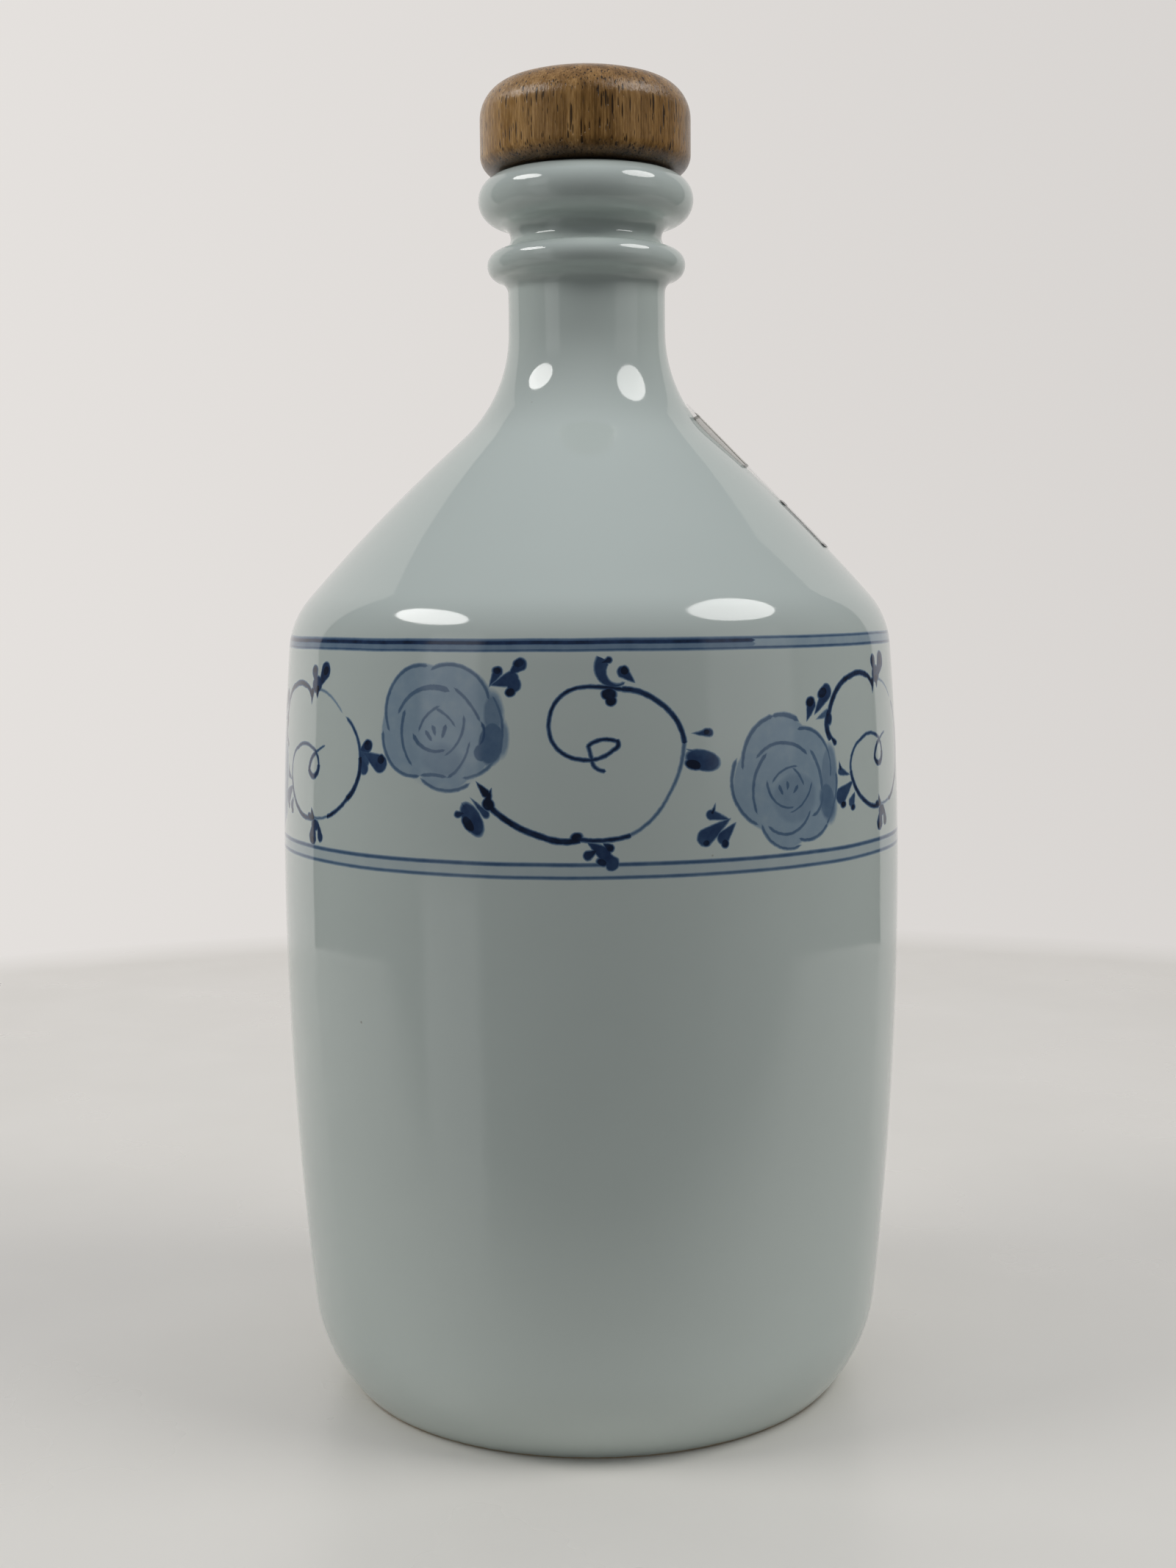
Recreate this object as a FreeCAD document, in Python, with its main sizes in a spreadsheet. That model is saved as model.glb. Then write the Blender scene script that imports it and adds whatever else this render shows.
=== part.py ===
"""Porcelain sake bottle with a turned wooden stopper: a parametric FreeCAD document, in millimetres.

The origin is the centre of the foot ring on the surface that the bottle stands on, and +Z points up.
Every piece of revolution is drawn as a half section, X being the radius and Y the height.
"""
import FreeCAD, Part
import math
import os

import Sketcher

V = FreeCAD.Vector
START, END, CENTRE = 1, 2, 3
AXIS_X, AXIS_Y = -1, -2

# How far the label's trimming sketch reaches past the label.
TRIM_REACH = 60.0
TRIM_LOW = 130.0
TRIM_HIGH = 175.0

# The driving dimensions, in millimetres and degrees.
SIZES = {
    # porcelain, outside
    "foot_outer_radius": 42.0,
    "foot_inner_radius": 36.0,
    "foot_flare_radius": 25.0,
    "belly_radius": 52.6,
    "belly_height": 86.0,
    "lower_wall_radius": 690.0,
    "upper_wall_radius": 520.0,
    "shoulder_start_height": 126.3,
    "shoulder_round_radius": 14.2,
    "cone_bow_radius": 300.0,
    "neck_sweep_radius": 24.0,
    "neck_sweep_top": 179.0,
    "neck_radius": 13.25,
    "bead_radius": 16.7,
    "bead_height": 189.9,
    "bead_round_radius": 2.4,
    "bead_fillet_radius": 2.3,
    "groove_round_radius": 2.2,
    "lip_radius": 18.1,
    "lip_round_radius": 4.0,
    "mouth_height": 204.6,
    # porcelain, inside
    "mouth_round_radius": 1.5,
    "bore_radius": 9.5,
    "bore_bottom_height": 178.0,
    "wall_thickness": 4.3,
    "cavity_wall_radius": 600.0,
    "cavity_shoulder_height": 126.0,
    "cavity_shoulder_radius": 10.5,
    "cavity_sweep_radius": 27.5,
    "cavity_floor_height": 9.0,
    "cavity_corner_radius": 9.0,
    "recess_depth": 3.6,
    "recess_corner_radius": 2.0,
    # wooden cap
    "cap_bottom_height": 204.75,
    "cap_top_height": 221.9,
    "cap_radius": 17.66,
    "cap_lower_round_radius": 3.2,
    "cap_upper_round_radius": 6.3,
    "cap_dome_radius": 42.0,
    # plug and its seals
    "tenon_radius": 7.5,
    "tenon_length": 8.0,
    "flange_radius": 12.5,
    "flange_thickness": 1.4,
    "shank_radius": 8.7,
    "shank_length": 24.5,
    "shank_chamfer": 1.2,
    "core_radius": 4.8,
    "core_depth": 26.0,
    "ring_centre_radius": 8.4,
    "ring_section_radius": 1.0,
    "ring_seat_width": 2.2,
    "upper_ring_height": 196.5,
    "lower_ring_height": 186.5,
    # clear label on the shoulder
    "label_gap": 0.05,
    "label_thickness": 0.16,
    "label_top_radius": 17.2,
    "label_top_height": 166.4,
    "label_bottom_height": 142.2,
    "label_width": 14.0,
    "label_azimuth": -16.0,
    "label_sweep": 150.0,
}

doc = FreeCAD.newDocument("sake_bottle")
sheet = doc.addObject("Spreadsheet::Sheet", "sheet")
for row, (alias, value) in enumerate(SIZES.items(), start=1):
    sheet.set(f"A{row}", alias)
    sheet.set(f"B{row}", str(value))
    sheet.setAlias(f"B{row}", alias)
doc.recompute()


def origin_plane(body, role):
    """One of the body's own origin planes."""
    return next(f for f in body.Origin.OriginFeatures if f.Role == role)


class Outline:
    """A closed half section, drawn piece after piece on the XZ plane of one body."""

    def __init__(self, body, name):
        self.sketch = body.newObject("Sketcher::SketchObject", name)
        self.sketch.AttachmentSupport = [(origin_plane(body, "XZ_Plane"), "")]
        self.sketch.MapMode = "FlatFace"
        self.ends = []

    def line(self, start, end):
        """A straight piece between two approximate places."""
        index = self.sketch.addGeometry(Part.LineSegment(V(*start, 0), V(*end, 0)))
        self.ends.append((START, END))
        return index

    def arc(self, start, end, radius, turn):
        """An arc between two approximate places; turn is "left" or "right" along the outline."""
        a, b = V(*start, 0), V(*end, 0)
        chord = b - a
        side = V(-chord.y, chord.x, 0).normalize()
        if turn == "right":
            side = side * -1
        centre = (a + b) * 0.5 + side * math.sqrt(max(radius**2 - chord.Length**2 / 4, 0))
        angles = [math.atan2(p.y - centre.y, p.x - centre.x) for p in (a, b)]
        if turn == "right":
            angles.reverse()
        circle = Part.Circle(centre, V(0, 0, 1), radius)
        index = self.sketch.addGeometry(Part.ArcOfCircle(circle, *angles))
        self.ends.append((START, END) if turn == "left" else (END, START))
        return index

    def join(self, first, second, smooth=True):
        """Ties the end of one piece to the start of the next, tangent where smooth."""
        kind = "Tangent" if smooth else "Coincident"
        places = (first, self.ends[first][1], second, self.ends[second][0])
        self.sketch.addConstraint(Sketcher.Constraint(kind, *places))

    def rule(self, kind, *places):
        """A constraint with no size."""
        self.sketch.addConstraint(Sketcher.Constraint(kind, *places))

    def size(self, kind, *places, by):
        """A constraint whose size follows an expression of the sheet."""
        value = float(self.sketch.evalExpression(by))
        index = self.sketch.addConstraint(Sketcher.Constraint(kind, *places, value))
        self.sketch.setExpression(f"Constraints[{index}]", by)

    def place(self, index, end, radius=None, height=None):
        """Holds one point of a piece at a radius or a height."""
        if radius is not None:
            self.size("DistanceX", AXIS_X, START, index, end, by=radius)
        if height is not None:
            self.size("DistanceY", AXIS_X, START, index, end, by=height)

    def measure(self, index, end, name):
        """Names a point's radius and height, so that another sketch can follow them."""
        for kind, suffix in (("DistanceX", "radius"), ("DistanceY", "height")):
            read = Sketcher.Constraint(kind, AXIS_X, START, index, end, 1.0)
            added = self.sketch.addConstraint(read)
            self.sketch.setDriving(added, False)
            self.sketch.renameConstraint(added, f"{name}_{suffix}")


def revolve(body, name, sketch, degrees=360.0):
    """A half section turned about the vertical axis."""
    turned = body.newObject("PartDesign::Revolution", name)
    turned.Profile = sketch
    turned.ReferenceAxis = (sketch, ["V_Axis"])
    turned.Angle = degrees
    return turned


def porcelain():
    """The bottle: one hollow thrown and glazed body on a turned foot ring."""
    body = doc.addObject("PartDesign::Body", "porcelain_body")
    outline = Outline(body, "porcelain_outline")
    line, arc, size, place = outline.line, outline.arc, outline.size, outline.place

    # Outside, from the foot up to the mouth.
    foot = line((36, 0), (42, 0))
    flare = arc((42, 0), (48, 10.3), 20, "left")
    lower_wall = arc((48, 10.3), (52.6, 86), 640, "left")
    upper_wall = arc((52.6, 86), (51, 126.3), 520, "left")
    shoulder = arc((51, 126.3), (47.3, 135), 14.2, "left")
    cone = arc((47.3, 135), (20.5, 161.9), 300, "left")
    sweep = arc((20.5, 161.9), (13.25, 179), 24, "right")
    neck = line((13.25, 179), (13.25, 185.4))
    fillet = arc((13.25, 185.4), (14.9, 187.6), 2.3, "right")
    bead = arc((14.9, 187.6), (15.1, 192.2), 2.4, "left")
    groove = arc((15.1, 192.2), (15.3, 196.6), 2.4, "right")
    lip = arc((15.3, 196.6), (13.95, 204.6), 4.15, "left")
    rim = line((13.95, 204.6), (11, 204.6))

    # Inside, from the mouth down to the cavity floor and round the foot recess.
    mouth = arc((11, 204.6), (9.5, 203.1), 1.5, "left")
    bore = line((9.5, 203.1), (9.5, 172))
    inner_sweep = arc((9.5, 172), (16, 157), 20, "left")
    inner_cone = line((16, 157), (42, 132))
    inner_shoulder = arc((42, 132), (46.9, 125), 11, "right")
    cavity_wall = arc((46.9, 125), (44, 15), 600, "right")
    corner = arc((44, 15), (36, 9), 9, "right")
    floor = line((36, 9), (0, 9))
    core = line((0, 9), (0, 3.6))
    ceiling = line((0, 3.6), (34, 3.6))
    recess_corner = arc((34, 3.6), (36, 1.6), 2, "right")
    foot_wall = line((36, 1.6), (36, 0))

    run = [foot, flare, lower_wall, upper_wall, shoulder, cone, sweep, neck, fillet, bead, groove, lip, rim,
           mouth, bore, inner_sweep, inner_cone, inner_shoulder, cavity_wall, corner, floor, core, ceiling,
           recess_corner, foot_wall]
    sharp = {(foot, flare), (floor, core), (core, ceiling), (foot_wall, foot)}
    for first, second in zip(run, run[1:] + run[:1]):
        outline.join(first, second, smooth=(first, second) not in sharp)

    for index in (rim, floor, ceiling):
        outline.rule("Horizontal", index)
    for index in (neck, bore, foot_wall):
        outline.rule("Vertical", index)
    outline.rule("PointOnObject", foot, START, AXIS_X)
    outline.rule("PointOnObject", foot, END, AXIS_X)
    outline.rule("PointOnObject", floor, END, AXIS_Y)
    outline.rule("PointOnObject", core, END, AXIS_Y)

    for index, alias in (
        (flare, "foot_flare_radius"),
        (lower_wall, "lower_wall_radius"),
        (upper_wall, "upper_wall_radius"),
        (shoulder, "shoulder_round_radius"),
        (cone, "cone_bow_radius"),
        (sweep, "neck_sweep_radius"),
        (fillet, "bead_fillet_radius"),
        (bead, "bead_round_radius"),
        (groove, "groove_round_radius"),
        (lip, "lip_round_radius"),
        (mouth, "mouth_round_radius"),
        (inner_sweep, "cavity_sweep_radius"),
        (inner_shoulder, "cavity_shoulder_radius"),
        (cavity_wall, "cavity_wall_radius"),
        (corner, "cavity_corner_radius"),
        (recess_corner, "recess_corner_radius"),
    ):
        size("Radius", index, by=f"sheet.{alias}")

    place(foot, START, radius="sheet.foot_inner_radius")
    place(foot, END, radius="sheet.foot_outer_radius")
    place(lower_wall, CENTRE, height="sheet.belly_height")
    place(lower_wall, END, radius="sheet.belly_radius", height="sheet.belly_height")
    place(upper_wall, END, height="sheet.shoulder_start_height")
    place(sweep, START, radius="sheet.neck_radius", height="sheet.neck_sweep_top")
    place(bead, CENTRE, radius="sheet.bead_radius - sheet.bead_round_radius", height="sheet.bead_height")
    place(lip, CENTRE, radius="sheet.lip_radius - sheet.lip_round_radius")
    place(lip, END, height="sheet.mouth_height")
    place(bore, END, radius="sheet.bore_radius", height="sheet.bore_bottom_height")
    place(cavity_wall, END, height="sheet.cavity_shoulder_height")
    place(
        cavity_wall,
        CENTRE,
        radius="sheet.belly_radius - sheet.wall_thickness - sheet.cavity_wall_radius",
        height="sheet.belly_height",
    )
    place(floor, START, height="sheet.cavity_floor_height")
    place(core, END, height="sheet.recess_depth")
    outline.measure(cone, CENTRE, "cone_centre")
    revolve(body, "porcelain_turned", outline.sketch)
    return body


def cap():
    """The turned wooden cap: rounded below, domed above, with a blind hole for the plug's tenon."""
    body = doc.addObject("PartDesign::Body", "wooden_cap")
    outline = Outline(body, "cap_outline")
    line, arc, size, place = outline.line, outline.arc, outline.size, outline.place

    underside = line((12.5, 204.75), (14.5, 204.75))
    lower_round = arc((14.5, 204.75), (17.66, 208), 3.2, "left")
    side = line((17.66, 208), (17.66, 213.6))
    upper_round = arc((17.66, 213.6), (13.1, 219.4), 5.9, "left")
    dome = arc((13.1, 219.4), (0, 221.5), 46, "left")
    middle = line((0, 221.5), (0, 212.75))
    hole_end = line((0, 212.75), (7.5, 212.75))
    hole_wall = line((7.5, 212.75), (7.5, 206.2))
    step = line((7.5, 206.2), (12.5, 206.2))
    step_wall = line((12.5, 206.2), (12.5, 204.75))

    run = [underside, lower_round, side, upper_round, dome, middle, hole_end, hole_wall, step, step_wall]
    smooth = {(underside, lower_round), (lower_round, side), (side, upper_round), (upper_round, dome)}
    for first, second in zip(run, run[1:] + run[:1]):
        outline.join(first, second, smooth=(first, second) in smooth)
    for index in (underside, hole_end, step):
        outline.rule("Horizontal", index)
    for index in (side, hole_wall, step_wall):
        outline.rule("Vertical", index)
    outline.rule("PointOnObject", dome, CENTRE, AXIS_Y)
    outline.rule("PointOnObject", middle, START, AXIS_Y)
    outline.rule("PointOnObject", middle, END, AXIS_Y)

    size("Radius", lower_round, by="sheet.cap_lower_round_radius")
    size("Radius", upper_round, by="sheet.cap_upper_round_radius")
    size("Radius", dome, by="sheet.cap_dome_radius")
    place(underside, START, radius="sheet.flange_radius", height="sheet.cap_bottom_height")
    place(side, END, radius="sheet.cap_radius")
    place(middle, START, height="sheet.cap_top_height")
    place(middle, END, height="sheet.cap_bottom_height + sheet.flange_thickness + sheet.tenon_length")
    place(hole_wall, END, radius="sheet.tenon_radius")
    place(step, START, height="sheet.cap_bottom_height + sheet.flange_thickness")
    revolve(body, "cap_turned", outline.sketch)
    return body


def plug():
    """The moulded plug: a tenon and flange seated in the cap, and a hollow shank with two ring seats."""
    body = doc.addObject("PartDesign::Body", "stopper_plug")
    outline = Outline(body, "plug_outline")
    line, place = outline.line, outline.place

    foot = line((4.8, 180.2), (7.5, 180.2))
    chamfer = line((7.5, 180.2), (8.7, 181.4))
    shank = line((8.7, 181.4), (8.7, 204.75))
    flange_under = line((8.7, 204.75), (12.5, 204.75))
    flange_edge = line((12.5, 204.75), (12.5, 206.2))
    flange_top = line((12.5, 206.2), (7.5, 206.2))
    tenon = line((7.5, 206.2), (7.5, 214.2))
    tenon_end = line((7.5, 214.2), (0, 214.2))
    middle = line((0, 214.2), (0, 206.2))
    core_end = line((0, 206.2), (4.8, 206.2))
    core = line((4.8, 206.2), (4.8, 180.2))

    run = [foot, chamfer, shank, flange_under, flange_edge, flange_top, tenon, tenon_end, middle, core_end,
           core]
    for first, second in zip(run, run[1:] + run[:1]):
        outline.join(first, second, smooth=False)
    for index in (foot, flange_under, flange_top, tenon_end, core_end):
        outline.rule("Horizontal", index)
    for index in (shank, flange_edge, tenon, core):
        outline.rule("Vertical", index)
    outline.rule("PointOnObject", middle, START, AXIS_Y)
    outline.rule("PointOnObject", middle, END, AXIS_Y)

    bottom = "sheet.cap_bottom_height - sheet.shank_length"
    place(foot, START, radius="sheet.core_radius", height=bottom)
    place(foot, END, radius="sheet.shank_radius - sheet.shank_chamfer")
    place(chamfer, END, radius="sheet.shank_radius", height=f"{bottom} + sheet.shank_chamfer")
    place(shank, END, height="sheet.cap_bottom_height")
    place(flange_under, END, radius="sheet.flange_radius")
    place(flange_edge, END, height="sheet.cap_bottom_height + sheet.flange_thickness")
    place(tenon, START, radius="sheet.tenon_radius")
    place(tenon, END, height="sheet.cap_bottom_height + sheet.flange_thickness + sheet.tenon_length")
    place(core, START, height=f"{bottom} + sheet.core_depth")
    revolve(body, "plug_turned", outline.sketch)

    seats = Outline(body, "ring_seats_outline")
    for ring in ("upper", "lower"):
        ring_seat(seats, f"sheet.{ring}_ring_height")
    doc.recompute()
    solid_before = body.Shape.Volume
    groove = body.newObject("PartDesign::Groove", "ring_seats")
    groove.Profile = seats.sketch
    groove.ReferenceAxis = (seats.sketch, ["V_Axis"])
    groove.Angle = 360.0
    doc.recompute()
    if not body.Shape.Volume < solid_before:
        raise RuntimeError("the ring seats cut nothing from the plug")
    return body


def ring_seat(seats, height):
    """A rectangular seat, open outwards past the shank's surface, centred on a height."""
    level = float(seats.sketch.evalExpression(height))
    floor = seats.line((7.4, level - 1.1), (7.4, level + 1.1))
    top = seats.line((7.4, level + 1.1), (9.4, level + 1.1))
    outside = seats.line((9.4, level + 1.1), (9.4, level - 1.1))
    bottom = seats.line((9.4, level - 1.1), (7.4, level - 1.1))
    run = [floor, top, outside, bottom]
    for first, second in zip(run, run[1:] + run[:1]):
        seats.join(first, second, smooth=False)
    for index in (top, bottom):
        seats.rule("Horizontal", index)
    for index in (floor, outside):
        seats.rule("Vertical", index)
    seats.place(floor, START, radius="sheet.ring_centre_radius - sheet.ring_section_radius",
                height=f"{height} - sheet.ring_seat_width / 2")
    seats.place(floor, END, height=f"{height} + sheet.ring_seat_width / 2")
    seats.place(outside, START, radius="sheet.ring_centre_radius + sheet.ring_section_radius")


def seal_ring(name, height):
    """One soft sealing ring in its seat on the plug."""
    ring = doc.addObject("Part::Torus", name)
    ring.setExpression("Radius1", "sheet.ring_centre_radius")
    ring.setExpression("Radius2", "sheet.ring_section_radius")
    ring.setExpression("Placement.Base.z", height)
    return ring


def label():
    """A clear film label: it follows the cone of the shoulder and bridges the hollow below the neck."""
    body = doc.addObject("PartDesign::Body", "shoulder_label")
    outline = Outline(body, "label_outline")
    line, arc, size, place = outline.line, outline.arc, outline.size, outline.place

    inner_bridge = line((17.2, 166.4), (24.5, 158.2))
    inner_film = arc((24.5, 158.2), (40.3, 142.2), 300.05, "right")
    lower_edge = line((40.3, 142.2), (40.42, 142.32))
    outer_film = arc((40.42, 142.32), (24.62, 158.32), 300.21, "left")
    outer_bridge = line((24.62, 158.32), (17.32, 166.52))
    upper_edge = line((17.32, 166.52), (17.2, 166.4))

    run = [inner_bridge, inner_film, lower_edge, outer_film, outer_bridge, upper_edge]
    smooth = {(inner_bridge, inner_film), (outer_film, outer_bridge)}
    for first, second in zip(run, run[1:] + run[:1]):
        outline.join(first, second, smooth=(first, second) in smooth)
    outline.rule("Parallel", inner_bridge, outer_bridge)
    outline.rule("Perpendicular", inner_bridge, upper_edge)
    outline.rule("PointOnObject", inner_film, CENTRE, lower_edge)
    outline.rule("Coincident", inner_film, CENTRE, outer_film, CENTRE)

    cone_centre = "porcelain_outline.Constraints.cone_centre"
    place(inner_bridge, START, radius="sheet.label_top_radius", height="sheet.label_top_height")
    place(inner_film, CENTRE, radius=f"{cone_centre}_radius", height=f"{cone_centre}_height")
    place(lower_edge, START, height="sheet.label_bottom_height")
    size("Radius", inner_film, by="sheet.cone_bow_radius + sheet.label_gap")
    size("Radius", outer_film, by="sheet.cone_bow_radius + sheet.label_gap + sheet.label_thickness")
    wrap = revolve(body, "label_wrap", outline.sketch)
    wrap.Midplane = True
    wrap.setExpression("Angle", "sheet.label_sweep")
    doc.recompute()
    full_wrap = body.Shape.Volume

    # One long edge follows a line of the cone, and the other runs parallel to it at the label's width.
    trim = body.newObject("Sketcher::SketchObject", "label_trim_outline")
    trim.AttachmentSupport = [(origin_plane(body, "YZ_Plane"), "")]
    trim.MapMode = "FlatFace"
    width = float(trim.evalExpression("sheet.label_width"))
    for edge, reach in ((0.0, -TRIM_REACH), (width, TRIM_REACH)):
        corners = [
            V(edge, TRIM_LOW, 0),
            V(reach, TRIM_LOW, 0),
            V(reach, TRIM_HIGH, 0),
            V(edge, TRIM_HIGH, 0),
        ]
        first = trim.GeometryCount
        for corner, following in zip(corners, corners[1:] + corners[:1]):
            trim.addGeometry(Part.LineSegment(corner, following))
        for side in range(4):
            here = first + side
            following = first + (side + 1) % 4
            trim.addConstraint(Sketcher.Constraint("Coincident", here, END, following, START))
            trim.addConstraint(Sketcher.Constraint(("Horizontal", "Vertical")[side % 2], here))
        if edge == 0:
            trim.addConstraint(Sketcher.Constraint("PointOnObject", first, START, AXIS_Y))
        else:
            offset = Sketcher.Constraint("DistanceX", AXIS_X, START, first, START, edge)
            held = trim.addConstraint(offset)
            trim.setExpression(f"Constraints[{held}]", "sheet.label_width")
    cut = body.newObject("PartDesign::Pocket", "label_trim")
    cut.Profile = trim
    cut.Type = "ThroughAll"
    cut.Midplane = True
    body.Placement = FreeCAD.Placement(V(0, 0, 0), FreeCAD.Rotation(V(0, 0, 1), 1.0))
    body.setExpression("Placement.Rotation.Angle", "sheet.label_azimuth")
    doc.recompute()
    if not body.Shape.Volume < full_wrap:
        raise RuntimeError("the trim cut nothing from the label")
    return body


def write(pieces):
    """Checks every object of the document and every piece, then writes one STEP file for each piece."""
    doc.recompute()
    for item in doc.Objects:
        if {"Invalid", "Error"} & set(item.State):
            raise RuntimeError(f"{item.Name} failed: {item.State}")
    for piece in pieces:
        if piece.Shape.isNull() or not piece.Shape.isValid():
            raise RuntimeError(f"{piece.Label} has no valid shape")
    os.makedirs("parts", exist_ok=True)
    for piece in pieces:
        piece.Shape.exportStep(f"parts/{piece.Label}.step")
        print(piece.Label, round(piece.Shape.Volume / 1000, 3), "cm3")


write([
    porcelain(),
    cap(),
    plug(),
    seal_ring("upper_seal_ring", "sheet.upper_ring_height"),
    seal_ring("lower_seal_ring", "sheet.lower_ring_height"),
    label(),
])
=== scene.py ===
"""Sake bottle: glazed porcelain with an underglaze blue band of scrolls and roses, and a wooden stopper.

Everything is in metres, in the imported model's frame. Materials work in millimetres. So do the brush marks,
which are laid out along the wall.
"""

import math

import bpy
from mathutils import Matrix, Vector


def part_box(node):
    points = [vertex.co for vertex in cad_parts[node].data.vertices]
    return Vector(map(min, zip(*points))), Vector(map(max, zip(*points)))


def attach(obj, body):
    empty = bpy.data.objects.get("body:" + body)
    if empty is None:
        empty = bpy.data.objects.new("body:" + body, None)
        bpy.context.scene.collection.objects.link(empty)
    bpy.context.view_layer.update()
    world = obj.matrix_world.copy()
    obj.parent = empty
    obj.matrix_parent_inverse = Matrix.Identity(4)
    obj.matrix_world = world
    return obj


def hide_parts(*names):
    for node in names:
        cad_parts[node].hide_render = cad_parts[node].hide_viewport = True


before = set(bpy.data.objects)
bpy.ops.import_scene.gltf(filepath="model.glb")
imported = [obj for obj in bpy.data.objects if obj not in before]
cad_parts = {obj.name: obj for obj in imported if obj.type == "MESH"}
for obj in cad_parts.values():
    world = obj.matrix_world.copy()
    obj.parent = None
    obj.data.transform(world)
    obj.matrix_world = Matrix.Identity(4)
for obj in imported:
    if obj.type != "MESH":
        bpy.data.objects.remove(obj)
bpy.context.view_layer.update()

MM = 0.001
TINY = 1e-6

# The wall that carries the painted band, in millimetres: the band's edges and the wall's radius there.
BAND_LOW = 92.5
BAND_HIGH = 129.6
BAND_RADIUS = 52.0
# The motifs repeat this many times round the bottle.
REPEATS = 3
REPEAT_LENGTH = 2 * math.pi * BAND_RADIUS / REPEATS
# How far, in millimetres, the repeat at the left sits below the others.
LEFT_SAG = 1.1
# How far, in millimetres, the edge of a stroke or a wash bleeds into the glaze.
SOFT_EDGE = 0.34

# The film label: its width in millimetres, and how far its near edge is in front of the bottle's right side.
LABEL_WIDTH = 14.0
LABEL_ANGLE = math.radians(16.0)

# Turned pieces: how many faces go round them, and the angle past which an edge of theirs is sharp.
AROUND = 192
CORNER = math.radians(32.0)

PORCELAIN = (0.55, 0.615, 0.585)
BISCUIT = (0.5, 0.42, 0.3)


# ---------------------------------------------------------------- nodes

class Nodes:
    """Adds nodes to one tree in order. Each input takes a socket or a plain value."""

    def __init__(self, tree):
        self.tree = tree

    def feed(self, socket, value):
        if isinstance(value, bpy.types.NodeSocket):
            self.tree.links.new(value, socket)
        else:
            socket.default_value = value

    def add(self, kind, values=(), **settings):
        node = self.tree.nodes.new(kind)
        for name, value in settings.items():
            setattr(node, name, value)
        for socket, value in zip(node.inputs, values):
            self.feed(socket, value)
        return node

    def math(self, operation, *values, clamp=False):
        """One sum. A clamp is a node of its own, so that Cycles works through a long chain in order."""
        result = self.add("ShaderNodeMath", values, operation=operation).outputs[0]
        return self.add("ShaderNodeClamp", [result]).outputs[0] if clamp else result

    def vector(self, operation, *values):
        node = self.add("ShaderNodeVectorMath", values, operation=operation)
        return node.outputs["Value" if operation in ("LENGTH", "DOT_PRODUCT") else "Vector"]

    def scaled(self, vector, by):
        node = self.add("ShaderNodeVectorMath", operation="SCALE")
        self.feed(node.inputs[0], vector)
        self.feed(node.inputs["Scale"], by)
        return node.outputs["Vector"]

    def split(self, vector):
        return self.add("ShaderNodeSeparateXYZ", [vector]).outputs

    def join(self, x, y, z):
        return self.add("ShaderNodeCombineXYZ", [x, y, z]).outputs[0]

    def spread(self, value, low, high, to_low=0.0, to_high=1.0):
        """A value carried from one range to another, and held inside it."""
        node = self.add("ShaderNodeMapRange", [value, low, high, to_low, to_high])
        return node.outputs["Result"]

    def noise(self, place, size, detail=2.0, roughness=0.5, output="Fac"):
        """Cloudy noise whose clouds are about size across, in the units of place."""
        node = self.add("ShaderNodeTexNoise")
        self.feed(node.inputs["Vector"], place)
        node.inputs["Scale"].default_value = 1 / size
        node.inputs["Detail"].default_value = detail
        node.inputs["Roughness"].default_value = roughness
        return node.outputs[output]

    def cells(self, place, size):
        """Scattered cells about size across: the distance to a cell's middle, and a number of its own."""
        node = self.add("ShaderNodeTexVoronoi", feature="F1")
        self.feed(node.inputs["Vector"], place)
        node.inputs["Scale"].default_value = 1 / size
        number = self.split(node.outputs["Color"])[0]
        return node.outputs["Distance"], number

    def mix(self, amount, first, second, blend="MIX"):
        node = self.add("ShaderNodeMix", data_type="RGBA", blend_type=blend)
        self.feed(node.inputs["Factor"], amount)
        for name, value in (("A", first), ("B", second)):
            socket = [s for s in node.inputs if s.name == name and s.type == "RGBA"][0]
            self.feed(socket, value if isinstance(value, bpy.types.NodeSocket) else (*value, 1.0))
        return [s for s in node.outputs if s.type == "RGBA"][0]

    def ramp(self, value, stops):
        """A colour ramp through (place, colour) stops."""
        node = self.add("ShaderNodeValToRGB", [value])
        elements = node.color_ramp.elements
        while len(elements) < len(stops):
            elements.new(1.0)
        for element, (place, colour) in zip(elements, stops):
            element.position = place
            element.color = (*colour, 1.0)
        return node.outputs["Color"]

    def bump(self, height, distance, strength=1.0, normal=None):
        node = self.add("ShaderNodeBump")
        node.inputs["Strength"].default_value = strength
        node.inputs["Distance"].default_value = distance
        self.feed(node.inputs["Height"], height)
        if normal is not None:
            self.feed(node.inputs["Normal"], normal)
        return node.outputs["Normal"]


def new_material(name):
    """A material with a Principled shader, its nodes, and its place in millimetres."""
    material = bpy.data.materials.new(name)
    material.use_nodes = True
    nodes = Nodes(material.node_tree)
    shader = material.node_tree.nodes["Principled BSDF"]
    place = nodes.add("ShaderNodeTexCoord").outputs["Object"]
    return material, nodes, shader, nodes.scaled(place, 1 / MM)


# ---------------------------------------------------------------- brush marks

def group(name, inputs):
    """A node group that takes the ink so far and a mark's numbers, and gives the ink with the mark on it."""
    tree = bpy.data.node_groups.new(name, "ShaderNodeTree")
    for label, kind in inputs:
        tree.interface.new_socket(label, in_out="INPUT", socket_type=f"NodeSocket{kind}")
    tree.interface.new_socket("Ink", in_out="OUTPUT", socket_type="NodeSocketFloat")
    nodes = Nodes(tree)
    return tree, nodes, nodes.add("NodeGroupInput").outputs


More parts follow.
